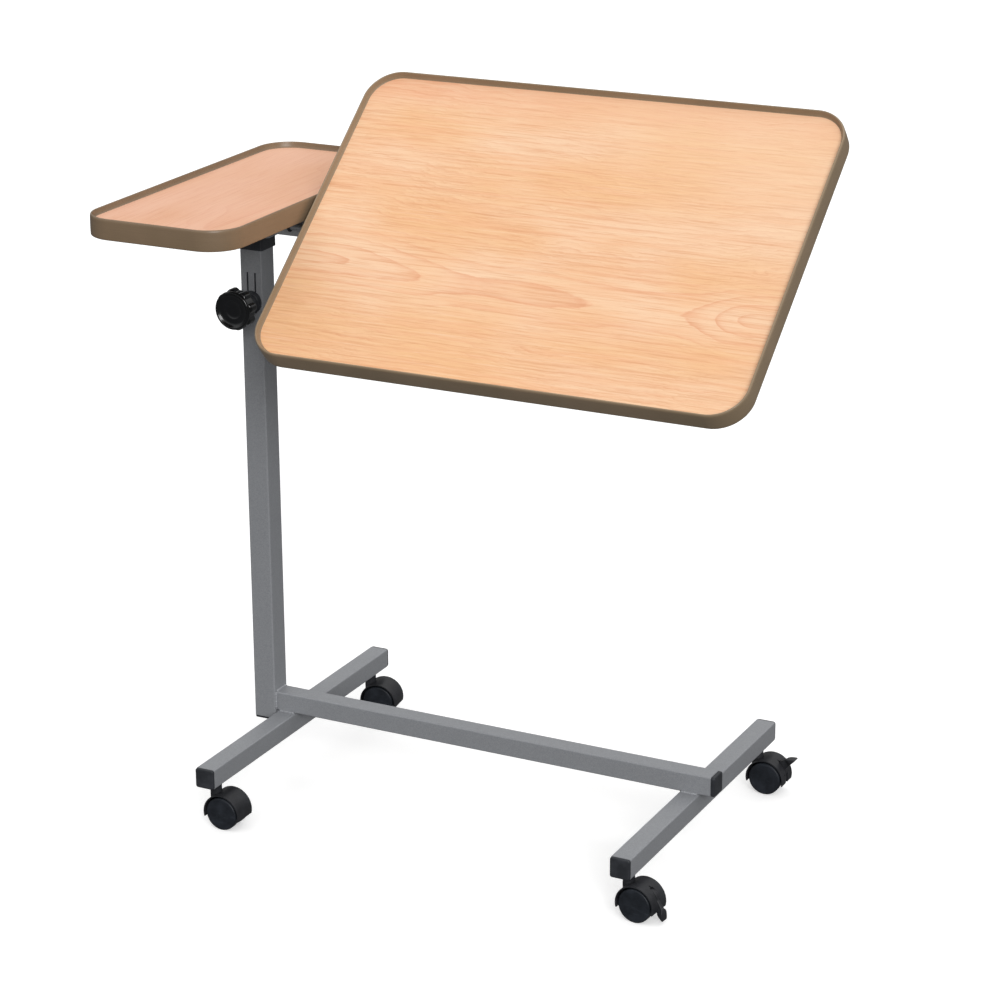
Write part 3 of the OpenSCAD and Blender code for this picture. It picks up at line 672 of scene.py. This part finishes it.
LEG_T = 1.5
caps = Shape()
for node in ("left_leg", "right_leg"):
    lo, hi = mm(node)
    x, z = (lo.x + hi.x) / 2, (lo.z + hi.z) / 2
    caps.add(cap_shape(hi.x - lo.x, LEG_T, 4.0, 1.5), at(x, lo.y, z) @ TO_PY)
    caps.add(cap_shape(hi.x - lo.x, LEG_T, 2.5, 1.1), at(x, hi.y, z) @ TO_NY)
make("leg_caps", caps, CAP, "base", ["leg_end_caps"])
lo, hi = mm("base_rail")
RAIL_LO, RAIL_HI = lo, hi
make("rail_cap", Shape().add(cap_shape(hi.z - lo.z, LEG_T, 5.0, 1.3), at(hi.x, (lo.y + hi.y) / 2, (lo.z + hi.z) / 2) @ TO_NX),
     CAP, "base", ["rail_end_cap"])
lo, hi = mm("support_arm")
arm = Shape()
arm.add(cap_shape(hi.z - lo.z, LEG_T, 3.0, 1.1), at(hi.x, (lo.y + hi.y) / 2, (lo.z + hi.z) / 2) @ TO_NX)
arm.add(cap_shape(hi.z - lo.z, LEG_T, 3.0, 1.1), at(lo.x, (lo.y + hi.y) / 2, (lo.z + hi.z) / 2) @ TO_X)
make("arm_caps", arm, CAP, "lift", ["arm_end_caps"])

# collar: a sleeve over the column's mouth
lo, hi = mm("column_collar")
zt, zb = hi.z, hi.z - 19.0
prof = [(0.9, zb), (0.3, zb + 0.15), (0, zb + 0.7), (0, zt - 1.5), (0.25, zt - 0.8), (0.8, zt - 0.25), (1.5, zt), (4.2, zt), (4.6, zt - 0.1),
        (4.75, zt - 0.5), (4.75, zb + 15.0), (2.45, zb + 15.0), (2.45, zb + 0.2), (2.2, zb)]
collar = Shape().add(prism(35, 35, 3.5, prof, n=8, wrap=True))
collar.add(prism(26.9, 26.9, 1.0, [(0, zb - 56.6), (0, zb + 15.2), (0.7, zb + 15.2), (0.7, zb - 56.8), (0.3, zb - 57)], n=4, wrap=True))
make("collar", collar, CAP, "base", ["column_collar"])


# ---------------------------------------------------------------- welds
def bead(p0, p1, r=1.9, n=None, seed=0.0):
    p0, p1 = Vector(p0), Vector(p1)
    L = (p1 - p0).length
    n = n or max(10, int(L / 0.55))
    pts, rs = [], []
    for i in range(n + 1):
        t = i / n
        k = 2 * pi * t * L / 2.3
        wob = 0.16 * sin(k + seed) + 0.07 * sin(k * 0.37 + seed * 3) + 0.05 * sin(k * 1.7 + seed)
        end = min(1.0, sqrt(max(0.0, min(t, 1 - t) * L / 1.8)) + 0.12)
        pts.append(p0.lerp(p1, t) + Vector((0.12 * sin(k * 0.5 + seed), 0.12 * cos(k * 0.43 + seed), 0.1 * sin(k * 0.61))))
        rs.append(r * (1 + wob) * end)
    return sweep(pts, rs, 12)


w = Shape()
clo, chi = mm("column_tube")
colx, ry, rz0, rz1 = chi.x, RAIL_HI.y, RAIL_LO.z, RAIL_HI.z
for s in (-1, 1):
    w.add(bead((colx + 0.4, s * (ry + 0.35), rz0 + 1.5), (colx + 0.4, s * (ry + 0.35), rz1 - 0.5), 2.0, seed=s))
w.add(bead((colx + 0.4, -ry + 1.5, rz1 + 0.3), (colx + 0.4, ry - 1.5, rz1 + 0.3), 1.8, seed=4))
for k, node in enumerate(("left_leg", "right_leg")):
    llo, lhi = mm(node)
    for s in (-1, 1):
        w.add(bead((llo.x + 1.5, s * (ry + 0.3), lhi.z + 0.25), (lhi.x - 1.5, s * (ry + 0.3), lhi.z + 0.25), 1.75, seed=s + k * 2))
    for x, sx in ((llo.x, -1), (lhi.x, 1)):
        if x < colx + 8:
            continue
        w.add(bead((x + sx * 0.3, -ry + 2.5, lhi.z - 0.35), (x + sx * 0.3, ry - 2.5, lhi.z - 0.35), 1.5, seed=x))
llo, lhi = mm("left_leg")
for s in (-1, 1):
    w.add(bead(((colx + llo.x) / 2, s * 9.5, clo.z + 1.0), ((colx + llo.x) / 2, s * 9.5, lhi.z - 1.0), 1.9, seed=s + 9))
w.add(block(colx, llo.x, -8.5, 8.5, clo.z + 0.8, lhi.z - 0.8))
make("welds", w, PAINT, "base", ["weld_beads"], 60)

# ---------------------------------------------------------------- height clamp
KZ = JOINTS["knob_turn"]["pos_m"][2] * 1000
FRONT = clo.y                                # the column's front face
boss = revolve([(4.2, 12.6), (4.4, 13.0), (9.2, 13.0), (10.1, 12.7), (10.5, 11.9), (10.5, 5.4), (10.7, 4.5), (11.3, 3.9), (12.4, 3.5), (13.4, 3.3),
                (13.9, 2.7), (14.0, 2.0), (14.0, 0.3), (13.8, 0.0), (4.7, 0.0), (4.2, 0.4)], 56)
boss = skin([boss[0][i * 56:(i + 1) * 56] for i in range(16)], wrap=True)
make("clamp_bush", Shape().add(boss, at(0, FRONT, KZ) @ TO_NY), CAP, "base", ["clamp_boss"])


def lobes(a):
    """How far the eight finger lobes stand out of the knob's round body at this angle."""
    k = pi / 4
    x = (a - rad(11) + k / 2) % k - k / 2
    s = 20.4 * sin(x)
    out = 0.0
    if abs(s) < 5.6:
        out = 20.4 * cos(x) + sqrt(5.6 ** 2 - s * s) - 22.6
    return max(0.0, out) ** 0.9 if out > 0 else 0.0


# from the column's face outwards: neck, lobed head, thin rim with a shallow dish
knob = revolve([
    (4.1, 13.9), (4.5, 13.6), (10.4, 13.6), (11.2, 13.95), (11.5, 14.8), (11.5, 24.6), (11.7, 26.3), (12.6, 27.4), (14.4, 27.95),
    (18.2, 28.05, 0.2), (20.8, 28.2, 0.66), (21.9, 28.65, 0.9), (22.45, 29.5, 1.0), (22.6, 30.7, 1.0), (22.6, 38.6, 1.0), (22.55, 40.2, 0.98),
    (22.5, 41.3, 0.86), (22.4, 42.0, 0.62), (22.4, 42.35, 0.3), (22.7, 42.5), (23.3, 42.65), (23.7, 43.1), (23.8, 43.8), (23.75, 44.7), (23.4, 45.55),
    (22.9, 46.15), (22.3, 46.45), (21.6, 46.5), (20.95, 46.25), (20.3, 45.7), (19.6, 44.95), (18.6, 44.1), (17.2, 43.4), (15.4, 43.02), (13.2, 42.85),
    (12.4, 42.95), (11.8, 43.15), (11.1, 43.2), (10.4, 43.0), (9.8, 42.6), (8.6, 42.2), (6.6, 41.85), (4.0, 41.65), (0.0, 41.6)], 176, lobes)
ks = Shape().add(knob, at(0, FRONT, KZ) @ TO_NY)
ks.add(revolve([(4.1, 13.9), (4.1, 25), (0, 25)], 40), at(0, FRONT, KZ) @ TO_NY)
make("knob", ks, GLOSS, "clamp_screw", ["clamp_knob"], 60)

# ---------------------------------------------------------------- tilt hardware
_head = None


def screw_head():
    """Pan head with a cross recess, its flat side at z = 0 and its crown below."""
    global _head
    if _head is None:
        dome = revolve([(0, 0.0), (3.8, 0.0), (4.0, -0.25), (3.95, -0.9), (3.6, -1.45), (2.9, -1.8), (1.8, -1.97), (0, -2.0)], 40)
        _head = cut(dome, [block(-2.1, 2.1, -0.42, 0.42, -3, -0.9), block(-0.42, 0.42, -2.1, 2.1, -3, -0.9)])
    return _head


def screws(name, node, body, xf, spots):
    s = Shape()
    for i, (x, y, z) in enumerate(spots):
        m = xf @ at(x, y, z) @ Matrix.Rotation(0.7 + 1.1 * i, 4, "Z")
        s.add(screw_head(), m)
        s.add(revolve([(2.0, 0.05), (2.0, 10.6), (1.2, 11.6), (0, 12.0)], 20), m)
    return make(name, s, ZINC, body, [node], 30)


BZ = BASE_Z + 2.0
screws("side_screws", "side_top_screws", "lift", Matrix.Identity(4),
       [(x, SY + y, BZ - 2.5) for x in (-55, 55) for y in (-70, 70)])
screws("main_screws", "main_top_screws", "main_top", TILT,
       [(x, MY + y, BZ - 2.95) for x in (148, 183, 349, 384) for y in (-75, 40)])

ax = Shape()
for s in (-1, 1):
    x = 60 if s < 0 else 424
    push = revolve([(0, 3.0), (2.6, 2.9), (4.6, 2.4), (5.6, 1.4), (5.8, 0.5), (6.5, 0.3), (6.5, -0.8), (5.6, -1.0), (4.1, -1.0), (4.1, 0.2), (0, 0.3)], 36)
    ax.add(push, at(x, PY, PZ) @ (TO_X if s > 0 else TO_NX))
make("axle_push_caps", ax, CAP, "lift", ["axle_caps"])

LY, LZ = PY - 48.0, PZ + 4.0                 # the release lever's pin, with the top flat
coil, turns = [], 5.5
for i in range(int(turns * 22) + 1):
    t = i / 22
    coil.append((407.4 + 4.6 * t / turns, LY + 4.7 * cos(2 * pi * t), LZ + 4.7 * sin(2 * pi * t)))
a = 2 * pi * turns
p = Vector(coil[-1])
tan = Vector((0, -sin(a), cos(a)))
coil += [tuple(p + tan * k) for k in (1.5, 4.0, 7.0, 9.5)]
make("spring_coil", Shape().add(sweep(coil, 0.42, 8), TILT), ZINC, "main_top", ["lever_spring"], 60)

grip = Shape()
rings = []
GY = [-128.0, -127.4, -126.2, -124.0] + [-121.5 + 1.5 * i for i in range(24)] + [-85.0, -83.2, -82.3, -82.0]
for i, y in enumerate(GY):
    end = min(abs(y + 128.0), abs(y + 82.0))
    k = sqrt(min(1.0, end / 3.0)) if end < 3.0 else 1.0
    rib = 0.35 * sin((y + 121.5) * 2 * pi / 6.0) if -121.5 < y < -87.5 else 0.0
    wd, th = 18.0 * (0.72 + 0.28 * k), (10.0 + rib) * (0.62 + 0.38 * k)
    rings.append([(x, y, z) for x, z in rr(wd, th, 3.2, 6)])
grip.add(skin(rings), TILT @ at(415, LY, LZ - 8.2))
make("grip", grip, CAP, "lever", ["lever_grip"], 60)

# ---------------------------------------------------------------- casters
YAW = {"fl": 0.0, "bl": 8.0, "fr": -5.0, "br": 0.0}
TRAIL, WZ, HR, HI, HW, WEB, DIP = 15.2, 20.7, 24.6, 23.1, 16.5, 5.5, 6.3
BX, BZ0 = TRAIL + 12.5, WZ + 8.0              # the brake lever's pin


def hood_point(rho, y, phi):
    return (TRAIL + rho * cos(phi), y, WZ + rho * sin(phi))


def band(y0, y1, r0=HI, r1=HR, c=0.5, back=None):
    """A curved strip of the hood between two y's, rounded on its outer corners. back is where it starts at the rear."""
    prof = [(r0, y0 + 0.3), (r0 + 0.3, y0), (r1 - c, y0), (r1 - c * 0.3, y0 + c * 0.3), (r1, y0 + c), (r1, y1 - c), (r1 - c * 0.3, y1 - c * 0.3),
            (r1 - c, y1), (r0 + 0.3, y1), (r0, y1 - 0.3)]
    cr, cy = sum(p[0] for p in prof) / len(prof), (y0 + y1) / 2
    rings, n = [], 56
    for i in range(n + 1):
        t = i / n
        shrink = 0.0
        if i in (0, n):
            shrink = 0.35
        ring = []
        for rho, y in prof:
            q = rho + (0.3 if rho < cr else -0.3) * (shrink / 0.35)
            yy = y + (0.3 if y < cy else -0.3) * (shrink / 0.35)
            a0 = -asin(DIP / q) if back is None else back
            a1 = pi + asin(DIP / q)
            e = 0.35 / q
            if i == 0:
                phi = a0
            elif i == n:
                phi = a1
            else:
                phi = a0 + e + (a1 - a0 - 2 * e) * (i - 1) / (n - 2)
            ring.append(hood_point(q, yy, phi))
        rings.append(ring)
    return skin(rings)


def fan(y0, y1, rho, phis):
    """Flat plate of the hood's web: the part of a disc above the cut line."""
    out = [[hood_point(rho if i else DIP, 0, p)[0::2] for i, p in ((1, q) for q in phis)]]
    pts = out[0]
    n = len(pts)
    v = [(x, y0, z) for x, z in pts] + [(x, y1, z) for x, z in pts]
    f = [tuple(range(n)), tuple(range(2 * n - 1, n - 1, -1))] + [(i, (i + 1) % n, (i + 1) % n + n, i + n) for i in range(n)]
    return v, f


def plate(pts, y0, y1):
    """A flat piece between two y's, its outline in x and z."""
    n = len(pts)
    v = [(x, y0, z) for x, z in pts] + [(x, y1, z) for x, z in pts]
    return v, [tuple(range(n)), tuple(range(2 * n - 1, n - 1, -1))] + [(i, (i + 1) % n, (i + 1) % n + n, i + n) for i in range(n)]


def moved(vf, xf):
    return [tuple(xf @ Vector(q)) for q in vf[0]], vf[1]


def rod(r, h, n=40):
    """Solid round bar along Z from -h to h."""
    return revolve([(0, -h), (r, -h), (r, h), (0, h)], n)


def hood_shape(braked, hole=False):
    s = Shape()
    shell = band(-HW, HW)
    a0 = -asin(DIP / (HI + 0.2))
    web = fan(-WEB, WEB, HI + 0.2, [a0 + (pi - 2 * a0) * i / 40 for i in range(41)])
    neck = revolve([(4.2, 30.2), (7.1, 30.2), (7.35, 38.0), (7.3, 42.0), (7.1, 44.4), (7.0, 46.5), (7.0, 51.2), (6.85, 51.75), (6.4, 52.0),
                    (4.6, 52.0), (4.2, 51.7)], 48)
    neck = skin([neck[0][i * 48:(i + 1) * 48] for i in range(11)], wrap=True)
    wheels = [moved(rod(HI, 12, 72), at(TRAIL, sgn * (WEB + 12), WZ) @ TO_NY) for sgn in (-1, 1)]
    neck = cut(neck, wheels)
    if braked:
        p = at(BX, 0, BZ0)
        slot = [moved(rod(11.2, 3.1, 56), p @ TO_NY),
                plate([(BX + x, BZ0 + z) for x, z in ((0, 0), (-1, 11.1), (17, 24), (40, 0), (17, -40), (-3, -10.7))], -3.1, 3.1),
                block(BX - 3, BX + 9, -1, 1, BZ0 + 4, BZ0 + 14)]
        tools = list(slot)
        if hole:
            f = rad(14)
            tools.append(moved(rod(1.2, 3, 24), at(TRAIL + HR * cos(f), -6.4, WZ + HR * sin(f)) @ Matrix.Rotation(-f, 4, "Y") @ TO_X))
        shell = cut(shell, tools)
        web = cut(web, slot)
    s.add(shell).add(web).add(neck)
    return s


def wheel_shape(sgn):
    prof = [(3.1, 6.2), (6.2, 5.9), (6.5, 6.1), (6.6, 6.4), (18.6, 6.4), (19.7, 6.55), (20.4, 7.0), (20.7, 7.9), (20.7, 10.5), (20.5, 10.7), (20.5, 11.0),
            (20.7, 11.2), (20.7, 13.8), (20.6, 14.7), (20.28, 15.4), (19.75, 15.88), (19.0, 16.1), (17.9, 16.17), (16.9, 16.19), (16.5, 16.1),
            (16.1, 16.12), (10.5, 16.18), (4.7, 16.2), (4.4, 16.05), (4.0, 16.05), (3.6, 16.2), (0, 16.22)]
    v, f = revolve(prof, 80)
    return [(x + TRAIL, sgn * z, y + WZ) for x, y, z in v], f


def brake_shape(angle):
    s = Shape()
    m = at(BX, 0, BZ0) @ Matrix.Rotation(rad(-angle), 4, "Y")
    s.add(revolve([(0, -2.8), (10.1, -2.8), (10.5, -2.65), (10.7, -2.2), (10.7, 2.2), (10.5, 2.65), (10.1, 2.8), (0, 2.8)], 72), m @ TO_NY)
    up = [(2, 8.9), (6, 8.5), (10, 8.1), (14, 7.6), (17, 7.2), (18.8, 7.0), (19.8, 6.8), (21.2, 6.3), (23.0, 5.45), (25.0, 4.35), (27.0, 3.1), (28.8, 1.8), (30.0, 0.85), (30.5, 0.3)]
    down = [(2, -4.3), (6, -4.25), (10, -3.7), (14, -2.9), (17, -2.2), (18.8, -1.9), (19.8, -1.7), (21.2, -1.5), (23.0, -1.3), (25.0, -1.1), (27.0, -0.95), (28.8, -0.75), (30.0, -0.5), (30.5, -0.1)]
    wide = [5.5, 5.5, 5.5, 5.5, 5.6, 6.4, 9.2, 11.2, 11.9, 12.0, 11.9, 11.4, 10.4, 9.2]
    rings = []
    for (x, a), (_, b), w in zip(up, down, wide):
        rings.append([(x, y, z + (a + b) / 2) for y, z in rr(w, a - b, min(1.3, (a - b) * 0.42), 6)])
    s.add(skin(rings), m)
    s.add(revolve([(0, -5.4), (1.7, -5.4), (2.0, -5.1), (2.0, 5.1), (1.7, 5.4), (0, 5.4)], 28), m @ TO_NY)
    return s


def put(shape, xf):
    o = Shape()
    o.v = [tuple(xf @ Vector(p)) for p in shape.v]
    o.f, o.m = shape.f, shape.m
    return o


HOODS = {"fl": hood_shape(False), "fr": hood_shape(True), "br": hood_shape(True, True)}
HOODS["bl"] = HOODS["fl"]
for k in ("fl", "bl", "fr", "br"):
    pos = JOINTS[k + "_swivel"]["pos_m"]
    xf = at((pos[0] - CX) * 1000, (pos[1] - CY) * 1000, 0) @ Matrix.Rotation(rad(YAW[k]), 4, "Z")
    make(f"{k}_hood", put(HOODS[k], xf), HOOD, f"{k}_swivel", [f"caster_{k}_hood"], 34)
    axle = Shape().add(revolve([(0, -14.2), (2.6, -14.2), (3, -13.8), (3, 13.8), (2.6, 14.2), (0, 14.2)], 32), at(TRAIL, 0, WZ) @ TO_NY)
    make(f"{k}_axle", put(axle, xf), ZINC, f"{k}_swivel", [f"caster_{k}_axle"])
    for side, sgn in (("f", -1), ("b", 1)):
        make(f"{k}_wheel_{side}", put(Shape().add(wheel_shape(sgn)), xf), WHEEL, f"{k}_wheel_{side}", [f"caster_{k}_wheel_{side}"], 34)
    if k in ("fr", "br"):
        make(f"{k}_brake_lever", put(brake_shape(-52 if k == "fr" else 39.5), xf), HOOD, f"{k}_brake", [f"caster_{k}_brake"], 50)


# ---------------------------------------------------------------- floor and light
def floor():
    me = bpy.data.meshes.new("floor")
    s = 40.0
    me.from_pydata([(-s, -s, 0), (s, -s, 0), (s, s, 0), (-s, s, 0)], [], [(0, 1, 2, 3)])
    ob = bpy.data.objects.new("floor", me)
    scene.collection.objects.link(ob)
    m = Mat("studio_floor", rough=0.9, spec=0.1)
    n = m.noise(m.P, 0.002, 2, 0.5)
    m.b.inputs["Emission Color"].default_value = (1, 1, 1, 1)
    m.b.inputs["Emission Strength"].default_value = 0.36
    me.materials.append(m.done(m.mix(n, (0.84, 0.84, 0.84, 1), (0.86, 0.86, 0.86, 1))))
    ob.visible_diffuse = ob.visible_glossy = False     # a white sweep that throws no light back up


floor()


key = bpy.data.lights.new("key", "SUN")
key.energy, key.angle = 1.80, rad(30)
key_ob = bpy.data.objects.new("key", key)
scene.collection.objects.link(key_ob)
_ka, _ke = rad(38), rad(24.5)
key_ob.rotation_euler = Vector((sin(_ka) * cos(_ke), -cos(_ka) * cos(_ke), sin(_ke))).to_track_quat("Z", "Y").to_euler()
world = bpy.data.worlds.new("world")
scene.world = world
world.use_nodes = True
wt = world.node_tree
bg = wt.nodes["Background"]
wc = wt.nodes.new("ShaderNodeTexCoord")
ws = wt.nodes.new("ShaderNodeSeparateXYZ")
wr = wt.nodes.new("ShaderNodeMapRange")
wr.interpolation_type = "SMOOTHSTEP"
wt.links.new(wc.outputs["Generated"], ws.inputs[0])
wt.links.new(ws.outputs[2], wr.inputs["Value"])
for _k, _v in (("From Min", 0.0), ("From Max", 0.65), ("To Min", 0.15), ("To Max", 0.95)):
    wr.inputs[_k].default_value = _v
wt.links.new(wr.outputs[0], bg.inputs["Strength"])
bg.inputs["Color"].default_value = (1, 1, 1, 1)
scene.view_settings.view_transform = "Standard"
scene.view_settings.look = "None"
scene.view_settings.exposure = 0.0
